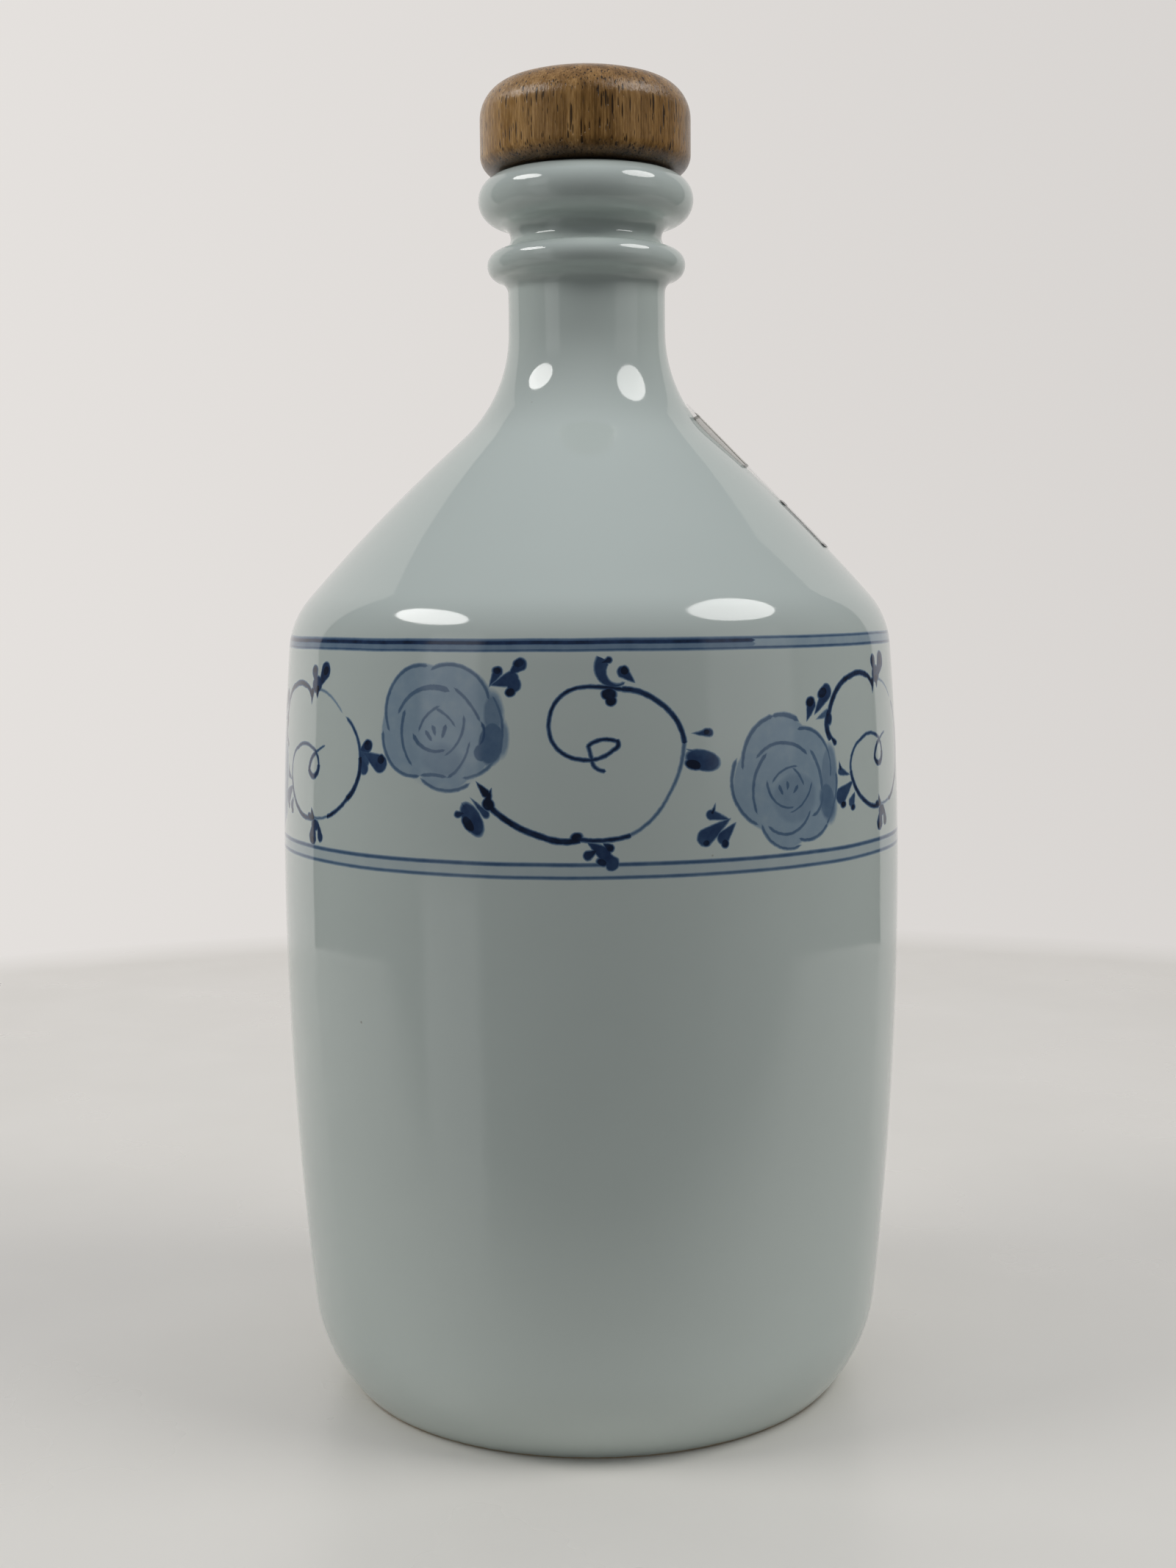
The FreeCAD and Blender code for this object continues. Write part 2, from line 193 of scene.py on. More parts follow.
def lay_ink(nodes, given, width, off, steepness=1 / SOFT_EDGE):
    """Ends a mark's group: full inside its width, soft at its edge, and never lighter than what is there."""
    inside = nodes.math("SUBTRACT", width, off)
    mark = nodes.math("MULTIPLY", inside, steepness, clamp=True)
    mark = nodes.math("MULTIPLY", mark, given["Density"])
    nodes.add("NodeGroupOutput", [nodes.math("MAXIMUM", given["Ink"], mark)])


def arc_group():
    """A brush line along an arc. Its width swells from one end to the other and tapers at both."""
    tree, nodes, given = group("brush_arc", [
        ("Place", "Vector"), ("Ink", "Float"), ("Centre", "Vector"), ("Radius", "Float"),
        ("Middle", "Vector"), ("Ends", "Float"), ("Side", "Vector"), ("Width", "Float"),
        ("Density", "Float"),
    ])
    away = nodes.vector("SUBTRACT", given["Place"], given["Centre"])
    distance = nodes.vector("LENGTH", away)
    off = nodes.math("SUBTRACT", distance, given["Radius"])
    off = nodes.math("ABSOLUTE", off)
    ends = nodes.vector("DOT_PRODUCT", away, given["Middle"])
    ends = nodes.math("DIVIDE", ends, distance)
    ends = nodes.math("ADD", ends, given["Ends"], clamp=True)
    width = nodes.vector("DOT_PRODUCT", away, given["Side"])
    width = nodes.math("ADD", width, given["Width"])
    width = nodes.math("MULTIPLY", width, ends)
    lay_ink(nodes, given, width, off)
    return tree


def petal_group():
    """A drop pressed down with the brush: a pointed tip and a round head."""
    tree, nodes, given = group("brush_petal", [
        ("Place", "Vector"), ("Ink", "Float"), ("Tip", "Vector"), ("Axis", "Vector"), ("Span", "Vector"),
        ("Radius", "Float"), ("Density", "Float"),
    ])
    away = nodes.vector("SUBTRACT", given["Place"], given["Tip"])
    along = nodes.vector("DOT_PRODUCT", away, given["Axis"])
    along = nodes.math("ADD", along, 0.0, clamp=True)
    centre = nodes.scaled(given["Span"], along)
    off = nodes.vector("LENGTH", nodes.vector("SUBTRACT", away, centre))
    width = nodes.math("POWER", along, 0.75)
    width = nodes.math("MULTIPLY", width, given["Radius"])
    lay_ink(nodes, given, width, off)
    return tree


def pool_group():
    """An oval pool of ink or of thin wash."""
    tree, nodes, given = group("brush_pool", [
        ("Place", "Vector"), ("Ink", "Float"), ("Centre", "Vector"), ("Across", "Vector"), ("Up", "Vector"),
        ("Radius", "Float"), ("Steepness", "Float"), ("Density", "Float"),
    ])
    away = nodes.vector("SUBTRACT", given["Place"], given["Centre"])
    across = nodes.vector("DOT_PRODUCT", away, given["Across"])
    up = nodes.vector("DOT_PRODUCT", away, given["Up"])
    off = nodes.vector("LENGTH", nodes.join(across, up, 0.0))
    off = nodes.math("MULTIPLY", off, given["Radius"])
    lay_ink(nodes, given, given["Radius"], off, given["Steepness"])
    return tree


def circle_through(a, b, c):
    """Centre and radius of the circle through three points."""
    (ax, ay), (bx, by), (cx, cy) = a, b, c
    turn = 2 * (ax * (by - cy) + bx * (cy - ay) + cx * (ay - by))
    squares = [x * x + y * y for x, y in (a, b, c)]
    x = (squares[0] * (by - cy) + squares[1] * (cy - ay) + squares[2] * (ay - by)) / turn
    y = (squares[0] * (cx - bx) + squares[1] * (ax - cx) + squares[2] * (bx - ax)) / turn
    centre = Vector((x, y))
    return centre, (Vector(a) - centre).length


class Brush:
    """Paints marks one over another. Places are millimetres from the middle of the motif in hand."""

    def __init__(self, nodes, along, height):
        self.nodes = nodes
        self.along = along
        self.height = height
        self.local = None
        self.ink = nodes.math("MULTIPLY", height, 0.0)
        self.groups = {"arc": arc_group(), "petal": petal_group(), "pool": pool_group()}

    def start(self, along, height):
        """Takes up a motif whose middle is at this place on the band, and at each repeat of it."""
        x = self.nodes.math("SUBTRACT", self.along, along)
        x = self.nodes.math("WRAP", x, REPEAT_LENGTH / 2, -REPEAT_LENGTH / 2)
        y = self.nodes.math("SUBTRACT", self.height, height)
        self.local = self.nodes.join(x, y, 0.0)

    def mark(self, kind, values):
        node = self.nodes.add("ShaderNodeGroup", node_tree=self.groups[kind])
        for socket, value in zip(node.inputs, [self.local, self.ink, *values]):
            value = (*value, 0.0) if isinstance(value, Vector) else value
            self.nodes.feed(socket, value)
        self.ink = node.outputs["Ink"]

    def line(self, start, via, end, width=0.35, ink=0.52, swell=1.0, taper=0.9, past=0.4):
        """One stroke through three points. Its width at the end is swell times that at the start.

        It runs on this far past both ends, and tapers to nothing over the last taper millimetres.
        """
        centre, radius = circle_through(start, via, end)
        rays = [(Vector(p) - centre).normalized() for p in (start, end)]
        middle = (rays[0] + rays[1]).normalized()
        if middle.dot(Vector(via) - centre) < 0:
            middle = -middle
        half = math.acos(max(-1.0, min(1.0, middle.dot(rays[0]))))
        side = Vector((-middle.y, middle.x))
        if side.dot(rays[1]) < 0:
            side = -side
        reach = half + past / radius
        rise = radius / (taper * math.sin(reach))
        first, last = width / 2, width * swell / 2
        growth = (last - first) / (2 * radius * math.sin(half))
        self.mark("arc", [centre, radius, middle * rise, -math.cos(reach) * rise, side * growth,
                          (first + last) / 2 + SOFT_EDGE / 2, ink])

    def vine(self, points, width, ink=0.95, swell=1.0):
        """A long line: arcs through each three points of an odd list, joined at every second point."""
        for first in range(0, len(points) - 2, 2):
            self.line(*points[first:first + 3], width, ink, swell, taper=0.3, past=0.3)

    def petal(self, tip, head, radius, ink=0.8):
        tip, span = Vector(tip), Vector(head) - Vector(tip)
        self.mark("petal", [tip, span / span.length_squared, span, radius, ink])

    def pool(self, centre, across, up=None, turn=0.0, ink=0.22, soft=SOFT_EDGE):
        """An oval with these half sizes, turned anticlockwise in degrees, and soft over this distance."""
        across += soft / 2
        up = up + soft / 2 if up else across
        turn = math.radians(turn)
        lean = Vector((math.cos(turn), math.sin(turn)))
        square = Vector((-lean.y, lean.x))
        self.mark("pool", [Vector(centre), lean / across, square / up, min(across, up), 1 / soft, ink])


# ---------------------------------------------------------------- motifs

def round_scroll(brush):
    """A vine that rises from a bud, turns once over the top and ends in a small loop."""
    brush.start(4.0, 110.0)
    brush.petal((-21.3, -2.3), (-19.7, -4.1), 0.85, 1.0)
    brush.petal((-18.7, -3.1), (-19.3, -5.0), 0.7, 1.0)
    brush.pool((-19.3, -5.8), 0.95, ink=1.0)
    brush.vine([(-19.2, -6.0), (-15.2, -9.0), (-11.1, -10.7), (-8.4, -11.2), (-5.9, -10.9)], 0.9)
    brush.pool((-6.3, -10.6), 1.0, 0.7, 15, ink=1.0)
    brush.vine([(-5.9, -10.8), (-2.0, -11.1), (1.6, -10.4)], 0.62)
    brush.line((1.5, -10.4), (5.0, -8.0), (7.5, -4.4), 0.5, 0.52, 0.85, 0.3)
    brush.line((7.4, -4.6), (9.4, 0.2), (10.0, 3.4), 0.42, 0.5, 1.5, 0.3)
    brush.vine([(10.0, 3.1), (8.7, 6.6), (5.5, 9.6), (3.2, 10.7), (0.6, 11.1)], 0.75, 0.9)
    brush.vine([(0.8, 11.0), (-2.5, 11.45), (-5.9, 11.3), (-8.9, 9.4), (-10.1, 5.9)], 0.55)
    brush.vine([(-10.1, 5.9), (-9.1, 2.9), (-6.1, 0.95), (-3.1, 0.9), (-0.6, 2.4)], 0.52)
    brush.vine([(-0.7, 2.3), (-0.1, 3.0), (-0.3, 3.6)], 0.6)
    brush.vine([(-0.3, 3.5), (-2.3, 3.7), (-4.4, 2.7)], 0.5)
    brush.vine([(-4.4, 2.8), (-4.0, 1.5), (-3.7, 0.2), (-3.1, -0.5), (-2.0, -0.9)], 0.52, 0.85)
    # Knot and leaves on top of the vine.
    brush.pool((-1.3, 10.4), 1.15, 0.9, ink=1.0)
    brush.pool((-1.0, 9.5), 0.8, ink=1.0)
    brush.line((0.8, 11.9), (-2.3, 13.0), (-2.0, 15.1), 0.25, 0.78, 8.0, 0.4)
    brush.petal((-3.0, 14.6), (-1.3, 15.25), 0.65, 1.0)
    brush.petal((2.6, 11.9), (0.8, 13.5), 1.05, 0.82)
    brush.pool((1.0, 13.7), 0.7, ink=1.0)
    # Leaves on the right.
    brush.petal((11.0, 4.4), (14.0, 4.4), 0.75, 0.85)
    brush.pool((13.6, 4.5), 0.7, 0.5, ink=1.0)
    brush.pool((12.8, 0.5), 2.9, 1.5, -13, ink=0.78)
    brush.petal((9.9, 2.2), (12.6, 1.4), 0.6, 0.78)
    brush.pool((11.3, -0.1), 1.5, 0.8, -12, ink=1.0)
    # Leaves under the vine.
    brush.petal((-4.9, -11.2), (-2.4, -12.9), 1.2, 0.85)
    brush.petal((-3.2, -12.0), (-1.2, -14.4), 1.25, 0.82)
    brush.petal((-3.0, -12.2), (-4.7, -13.2), 0.85, 0.95)
    brush.petal((-2.6, -11.4), (-1.5, -12.2), 0.8, 0.95)
    brush.pool((-2.7, -14.2), 0.9, 0.6, -20, ink=1.0)
    # A sprig of three leaves below, between the scroll and the next rose.
    brush.petal((17.2, -8.8), (14.0, -7.8), 0.95, 0.8)
    brush.petal((14.7, -5.9), (14.2, -7.5), 0.5, 1.0)
    brush.petal((17.2, -8.4), (13.0, -11.1), 1.45, 0.78)
    brush.pool((13.1, -11.9), 0.75, 0.5, ink=1.0)
    brush.petal((18.0, -9.0), (15.8, -11.3), 1.15, 0.8)
    brush.pool((16.1, -12.1), 0.6, 0.7, ink=1.0)


def tall_scroll(brush):
    """A vine that starts at the rose, turns over the top and hooks back into a loop."""
    brush.start(57.0, 110.0)
    brush.petal((-16.2, 3.6), (-14.6, 1.9), 0.6, 1.0)
    brush.vine([(-15.7, 2.6), (-16.5, 4.2), (-15.9, 6.8)], 1.0)
    brush.pool((-16.0, 5.7), 0.7, 1.1, ink=1.0)
    brush.vine([(-15.9, 6.6), (-13.7, 9.9), (-9.7, 11.8), (-6.9, 12.3), (-4.0, 11.9)], 0.85)
    brush.vine([(-4.0, 11.9), (-2.4, 11.2), (-1.4, 10.0)], 0.75)
    brush.line((1.2, 11.2), (4.8, 10.1), (8.2, 7.7), 0.42, 0.38, 0.5, 0.8)
    brush.line((9.3, 7.0), (12.2, 3.6), (12.9, 0.2), 0.4, 0.78, 1.6, 0.8)
    brush.vine([(12.9, 0.6), (12.3, -3.2), (9.9, -5.7)], 0.85)
    brush.vine([(10.0, -5.6), (7.2, -7.6), (4.6, -8.5)], 0.6)
    brush.line((4.9, -8.4), (2.4, -8.9), (-0.2, -9.0), 0.36, 0.55, 1.0, 0.3)
    brush.vine([(0.0, -9.0), (-3.4, -9.1), (-6.7, -7.8), (-9.3, -5.7), (-10.5, -3.0)], 0.7, 0.9)
    brush.vine([(-10.5, -3.0), (-9.7, 0.1), (-7.2, 1.7), (-3.9, 2.6), (-0.8, 2.1)], 0.5, 0.8)
    brush.vine([(-0.9, 2.1), (0.8, 1.1), (1.5, -0.8)], 0.5, 0.85)
    brush.vine([(1.5, -0.6), (0.0, -2.4), (-2.0, -1.4)], 0.85, 0.9)
    brush.vine([(-2.0, -1.5), (-1.3, 0.0), (0.2, 1.2)], 0.65, 0.9)
    brush.line((0.0, 1.1), (1.6, 1.9), (3.2, 2.5), 0.5, 0.75, 0.4, 0.5)
    # Knots on the vine.
    brush.petal((-1.6, 8.8), (-1.4, 10.9), 0.75, 1.0)
    brush.petal((0.5, 9.7), (0.5, 11.3), 0.85, 1.0)
    brush.petal((-0.8, -7.3), (-0.5, -8.9), 0.8, 1.0)
    brush.pool((-1.6, -8.9), 0.8, 0.5, 5, ink=1.0)
    # Leaves on top.
    brush.pool((0.3, 12.0), 1.7, 1.3, ink=0.86)
    brush.petal((0.2, 11.4), (-0.7, 14.0), 1.2, 0.9)
    brush.petal((0.8, 11.2), (3.0, 14.0), 1.6, 0.86)
    brush.pool((-0.7, 14.2), 0.8, 0.6, ink=1.0)
    brush.pool((3.1, 14.0), 1.1, 0.8, 20, ink=1.0)
    # Leaves below.
    brush.pool((0.4, -10.1), 1.3, 0.9, ink=0.88)
    brush.petal((0.2, -9.0), (-0.5, -12.0), 1.4, 0.86)
    brush.pool((-0.7, -12.4), 0.9, 0.6, 20, ink=1.0)
    brush.petal((1.2, -9.0), (2.2, -11.8), 1.0, 0.9)
    # Leaves on the left, towards the rose.
    brush.petal((-10.6, -3.6), (-13.3, -2.8), 0.8, 0.76)
    brush.petal((-13.6, -1.0), (-13.3, -2.4), 0.55, 0.95)
    brush.petal((-9.9, -4.4), (-13.4, -6.6), 1.45, 0.78)
    brush.pool((-12.9, -7.9), 0.7, 0.55, 15, ink=1.0)
    brush.petal((-9.6, -6.2), (-10.6, -7.7), 1.0, 0.76)
    brush.pool((-10.3, -8.5), 0.65, 0.5, ink=1.0)
    # Leaves on the right.
    brush.petal((12.6, 1.6), (14.4, 2.2), 1.25, 0.84)
    brush.pool((13.9, 0.6), 1.2, 1.9, ink=0.72)
    brush.petal((12.8, 1.2), (13.9, -1.2), 1.1, 0.74)
    brush.petal((13.4, 1.4), (17.3, -0.5), 1.6, 0.82)
    brush.pool((14.6, 2.4), 1.0, 0.9, ink=1.0)
    brush.pool((17.5, 0.1), 0.9, 0.8, ink=1.0)


def open_rose(brush):
    """The full rose: broad outer petals, a cupped heart, and a dark turned petal on the right."""
    brush.start(-24.2, 114.8)
    # Thin wash, petal by petal.
    brush.pool((-2.4, 2.9), 7.1)
    brush.pool((3.0, 3.4), 6.5)
    brush.pool((3.4, 0.9), 7.6)
    brush.pool((-3.4, -0.3), 6.7)
    brush.pool((3.3, -1.9), 6.3, 5.6)
    brush.pool((1.6, -3.9), 5.2, 5.0)
    brush.pool((1.4, -4.3), 5.6, 3.4, ink=0.3, soft=3.0)
    brush.pool((9.4, 2.6), 1.6, 3.6, 4, ink=0.41, soft=0.8)
    brush.pool((10.9, -0.9), 1.1, 2.9, ink=0.3, soft=0.5)
    brush.pool((9.3, -1.6), 2.0, 3.3, -6, ink=0.53, soft=0.5)
    brush.pool((8.0, -3.0), 1.4, 1.3, ink=0.53, soft=0.4)
    # Outer petals.
    brush.line((-1.4, 9.6), (-8.3, 6.3), (-8.5, -0.3), 0.62)
    brush.line((-9.8, -0.2), (-8.1, -5.1), (-2.6, -6.9), 0.6)
    brush.line((-1.0, 9.0), (4.5, 9.5), (8.8, 4.6), 0.62)
    brush.line((9.2, 5.4), (10.9, 1.4), (10.6, -2.9), 0.56, 0.55)
    brush.line((10.3, -3.4), (8.0, -5.8), (4.6, -6.8), 0.56, 0.46)
    brush.line((-2.4, -7.3), (1.4, -8.8), (5.9, -7.6), 0.56)
    # Inner petals.
    brush.line((-6.9, 2.3), (-3.0, 6.0), (2.3, 5.8), 0.62, 0.5, swell=1.7)
    brush.line((3.0, 6.4), (5.8, 3.9), (7.5, 1.4), 0.6)
    brush.line((7.5, 1.5), (8.2, -0.4), (7.4, -2.1), 0.6, 0.66)
    brush.line((-5.5, 3.0), (-6.0, -1.3), (-3.9, -5.5), 0.74, swell=0.7)
    brush.line((-2.5, -6.9), (-0.2, -6.6), (2.2, -6.8), 0.66)
    brush.line((2.1, -6.9), (4.8, -4.5), (6.0, -1.3), 0.66, swell=0.7)
    # The heart.
    brush.line((-3.9, -0.7), (-2.3, -2.5), (2.0, -2.7), 0.8, 0.55, 0.7)
    brush.line((-2.9, -0.5), (-1.6, 2.0), (0.8, 3.6), 0.5, swell=1.2)
    brush.line((-0.2, 3.3), (1.8, 2.2), (3.6, 0.4), 0.6, swell=0.7)
    brush.line((4.7, 2.4), (4.5, -0.6), (1.6, -3.7), 0.62, swell=0.8)
    brush.line((-1.5, -0.3), (-1.0, -1.0), (-0.5, -1.6), 0.85, 0.55, 0.7, 0.5)
    brush.line((-0.4, 0.5), (-0.1, -0.1), (0.1, -0.8), 0.85, 0.55, 0.7, 0.5)
    brush.line((1.8, 0.7), (1.6, -0.2), (1.3, -1.1), 0.85, 0.55, 0.7, 0.5)
    # Leaves at the upper right.
    brush.petal((8.6, 6.4), (10.1, 8.9), 0.95, 0.85)
    brush.pool((10.0, 9.0), 0.8, 0.6, ink=1.0)
    brush.petal((8.8, 6.8), (12.2, 7.8), 1.35, 0.82)
    brush.petal((11.6, 8.2), (13.6, 9.9), 1.15, 0.85)
    brush.pool((13.4, 10.1), 1.0, 0.7, 20, ink=0.95)
    brush.pool((12.6, 7.0), 1.1, 1.2, ink=0.82)
    brush.pool((12.1, 5.9), 0.85, 0.7, 20, ink=1.0)
    # Leaves at the lower right, beside the bud of the round scroll.
    brush.pool((6.2, -12.9), 2.8, 1.5, -60, ink=0.82)
    brush.pool((5.6, -13.6), 1.6, 0.8, -55, ink=1.0)
    brush.petal((5.6, -11.9), (3.9, -12.3), 0.7, 0.95)
    brush.petal((4.5, -10.4), (5.3, -11.7), 0.8, 0.85)
    brush.petal((5.8, -9.5), (8.5, -12.1), 0.75, 0.8)


def lower_rose(brush):
    """The rose set lower on the band, turned a little, with leaves above it."""
    brush.start(31.6, 105.6)
    brush.pool((-1.3, 3.7), 7.2)
    brush.pool((3.0, 2.5), 6.4)
    brush.pool((-2.9, 0.7), 7.1)
    brush.pool((4.1, -1.4), 6.8)
    brush.pool((-0.1, -3.6), 5.6)
    brush.pool((1.4, -1.8), 5.6, 4.6, ink=0.3, soft=2.5)
    brush.pool((9.0, 1.0), 2.0, 5.6, -4, ink=0.34, soft=0.6)
    brush.pool((8.6, -2.8), 2.0, 3.4, 12, ink=0.46, soft=0.9)
    # Outer petals.
    brush.line((-8.3, 3.0), (-6.9, 7.9), (-2.5, 10.8), 0.56, swell=1.3)
    brush.line((-2.8, 10.7), (0.0, 10.9), (2.4, 10.0), 0.7, swell=1.2)
    brush.line((-9.3, 4.7), (-10.0, -0.7), (-5.8, -5.3), 0.56)
    brush.line((2.1, 8.8), (8.3, 6.2), (9.3, 0.7), 0.66, swell=0.7)
    brush.line((10.8, 1.7), (10.3, -2.9), (8.2, -6.3), 0.56)
    brush.line((8.5, -6.0), (5.4, -8.1), (1.9, -7.9), 0.56)
    brush.line((-5.3, -5.2), (-2.8, -8.4), (2.3, -9.0), 0.56, swell=0.8)
    # Inner petals.
    brush.line((-6.0, 4.6), (-1.0, 6.8), (4.1, 4.7), 0.59, swell=1.2)
    brush.line((-4.0, 5.3), (-6.6, 0.6), (-6.0, -3.8), 0.7, swell=0.8)
    brush.line((4.8, 5.4), (6.7, 2.2), (7.4, -1.4), 0.78, 0.48)
    brush.line((7.4, -1.1), (7.1, -3.2), (4.9, -4.8), 0.62)
    brush.line((-4.1, -5.6), (0.0, -7.1), (4.6, -3.8), 0.59)
    # The heart.
    brush.line((-3.2, 0.6), (-1.3, 2.5), (2.0, 3.0), 0.47)
    brush.line((0.7, 3.0), (2.1, 1.7), (3.3, -0.2), 0.56)
    brush.line((-4.1, 1.2), (-2.8, -1.9), (1.2, -3.1), 0.66, swell=0.7)
    brush.line((5.0, 0.5), (3.5, -2.2), (0.0, -4.0), 0.56, swell=0.8)
    brush.line((-1.8, 0.3), (-1.5, -0.4), (-1.1, -1.1), 0.8, 0.55, 0.7, 0.5)
    brush.line((-0.3, 0.8), (-0.2, 0.2), (-0.3, -0.4), 0.8, 0.55, 0.7, 0.5)
    brush.line((1.7, 0.1), (1.4, -0.5), (0.9, -1.0), 0.8, 0.55, 0.7, 0.5)
    # Leaves above.
    brush.petal((4.2, 9.7), (5.4, 12.3), 1.15, 0.82)
    brush.pool((5.2, 12.7), 1.0, 0.8, 25, ink=1.0)
    brush.petal((5.9, 10.6), (9.0, 14.1), 1.35, 0.84)
    brush.pool((8.1, 14.0), 1.3, 0.8, 28, ink=1.0)
    brush.petal((6.2, 10.0), (9.0, 10.9), 0.8, 0.6)


def rings(nodes, along, height, ink):
    """The turned lines that close the band: two above, one of them from a loaded brush, and two below."""
    loaded_from = 26.5
    loaded_length = 210.0
    behind = nodes.math("SUBTRACT", loaded_from, along)
    behind = nodes.math("WRAP", behind, REPEATS * REPEAT_LENGTH, 0.0)
    loaded = nodes.math("LESS_THAN", behind, loaded_length)
    rounded = nodes.spread(behind, 0.0, 0.7, 0.2, 1.0)
    loaded = nodes.math("MULTIPLY", loaded, rounded)

    for level, width, density, only_loaded in (
        (127.6, 1.5, 0.18, False),
        (127.4, 1.1, 0.38, True),
        (126.85, 0.42, 0.62, False),
        (128.3, 0.4, 0.58, False),
        (127.95, 0.7, 0.92, True),
        (94.4, 1.9, 0.08, False),
        (95.35, 0.54, 0.6, False),
        (93.45, 0.48, 0.54, False),
    ):
        off = nodes.math("ABSOLUTE", nodes.math("SUBTRACT", height, level))
        half = width / 2 + SOFT_EDGE / 2
        reach = nodes.math("MULTIPLY", loaded, half) if only_loaded else half
        mark = nodes.math("SUBTRACT", reach, off)
        mark = nodes.math("MULTIPLY", mark, 1 / SOFT_EDGE, clamp=True)
        ink = nodes.math("MAXIMUM", ink, nodes.math("MULTIPLY", mark, density))
    return ink


# ---------------------------------------------------------------- materials

def shade(colour, by):
    return tuple(part * by for part in colour)


def glaze_colour(nodes, place):
    """The glaze over porcelain: faintly clouded, with a few tiny iron specks."""
    clouds = nodes.noise(place, 38.0, 3.0)
    colour = nodes.mix(clouds, shade(PORCELAIN, 0.965), shade(PORCELAIN, 1.03))
    off, number = nodes.cells(place, 9.0)
    rare = nodes.math("GREATER_THAN", number, 0.9)
    speck = nodes.spread(off, 0.012, 0.03, 0.55, 0.0)
    speck = nodes.math("MULTIPLY", speck, rare)
    return nodes.mix(speck, colour, (0.16, 0.12, 0.08))


def glaze_gloss(nodes, shader, place):
    """The glassy skin: near mirror smooth, a little wavy, with fine orange peel. Gives its roughness."""
    shader.inputs["IOR"].default_value = 1.53
    smear = nodes.noise(place, 12.0, 3.0)
    roughness = nodes.spread(smear, 0.35, 0.75, 0.045, 0.09)
    nodes.feed(shader.inputs["Roughness"], roughness)
    waves = nodes.noise(place, 16.0, 1.0)
    waves = nodes.bump(waves, 0.00012, 1.0)
    peel = nodes.noise(place, 1.4, 2.0)
    nodes.feed(shader.inputs["Normal"], nodes.bump(peel, 0.000002, 1.0, waves))
    return roughness


def glaze_material():
    """Plain glaze. It stops short of the foot, where the bare biscuit shows."""
    material, nodes, shader, place = new_material("porcelain_glaze")
    colour = glaze_colour(nodes, place)
    height = nodes.split(place)[2]
    edge = nodes.noise(place, 3.0, 3.0)
    edge = nodes.math("MULTIPLY_ADD", edge, 0.6, 0.1)
    bare = nodes.math("SUBTRACT", edge, height)
    bare = nodes.math("MULTIPLY", bare, 5.0, clamp=True)
    grain = nodes.noise(place, 0.5, 3.0)
    biscuit = nodes.mix(grain, shade(BISCUIT, 0.8), shade(BISCUIT, 1.15))
    nodes.feed(shader.inputs["Base Color"], nodes.mix(bare, colour, biscuit))
    gloss = glaze_gloss(nodes, shader, place)
    nodes.feed(shader.inputs["Roughness"], nodes.math("MULTIPLY_ADD", bare, 0.7, gloss))
    return material


def band_material():
    """Glaze over the painted band. Cobalt darkens from a pale wash to near black where it is thick."""
    material, nodes, shader, place = new_material("painted_band")
    x, y, height = nodes.split(place)
    angle = nodes.math("ARCTAN2", x, nodes.math("MULTIPLY", y, -1.0))
    along = nodes.math("MULTIPLY", angle, BAND_RADIUS)

    # The hand's slow drift and the edge's fine fraying, in millimetres, never the same in two repeats.
    drift = nodes.noise(place, 13.0, 1.0, output="Color")
    drift = nodes.vector("SUBTRACT", drift, (0.5, 0.5, 0.5))
    fray = nodes.noise(place, 0.8, 2.0, output="Color")
    fray = nodes.vector("SUBTRACT", fray, (0.5, 0.5, 0.5))
    shift = nodes.vector("ADD", nodes.scaled(drift, 0.9), nodes.scaled(fray, 0.22))
    shift_x, shift_y, _ = nodes.split(shift)
    frayed = nodes.math("MULTIPLY_ADD", shift_y, 0.25, height)

    # The sag grows from 0 to all of it between 0.6 and 0.85 of the way out to the left.
    sag = nodes.math("MULTIPLY_ADD", x, -4.0 / BAND_RADIUS, -2.4, clamp=True)
    sunk = nodes.math("MULTIPLY_ADD", sag, LEFT_SAG, height)

    brush = Brush(nodes, nodes.math("ADD", along, shift_x), nodes.math("ADD", sunk, shift_y))
    for motif in (open_rose, lower_rose, round_scroll, tall_scroll):
        motif(brush)
    ink = rings(nodes, along, frayed, brush.ink)

    pooling = nodes.noise(place, 2.2, 3.0)
    ink = nodes.math("MULTIPLY", ink, nodes.spread(pooling, 0.25, 0.75, 0.88, 1.1))
    stain = nodes.ramp(ink, [
        (0.0, (1.0, 1.0, 1.0)),
        (0.22, (0.46, 0.56, 0.73)),
        (0.45, (0.2, 0.29, 0.46)),
        (0.65, (0.085, 0.155, 0.32)),
        (0.85, (0.03, 0.065, 0.18)),
        (1.0, (0.011, 0.02, 0.055)),
    ])
    colour = nodes.mix(1.0, glaze_colour(nodes, place), stain, "MULTIPLY")
    nodes.feed(shader.inputs["Base Color"], colour)
    glaze_gloss(nodes, shader, place)
    return material


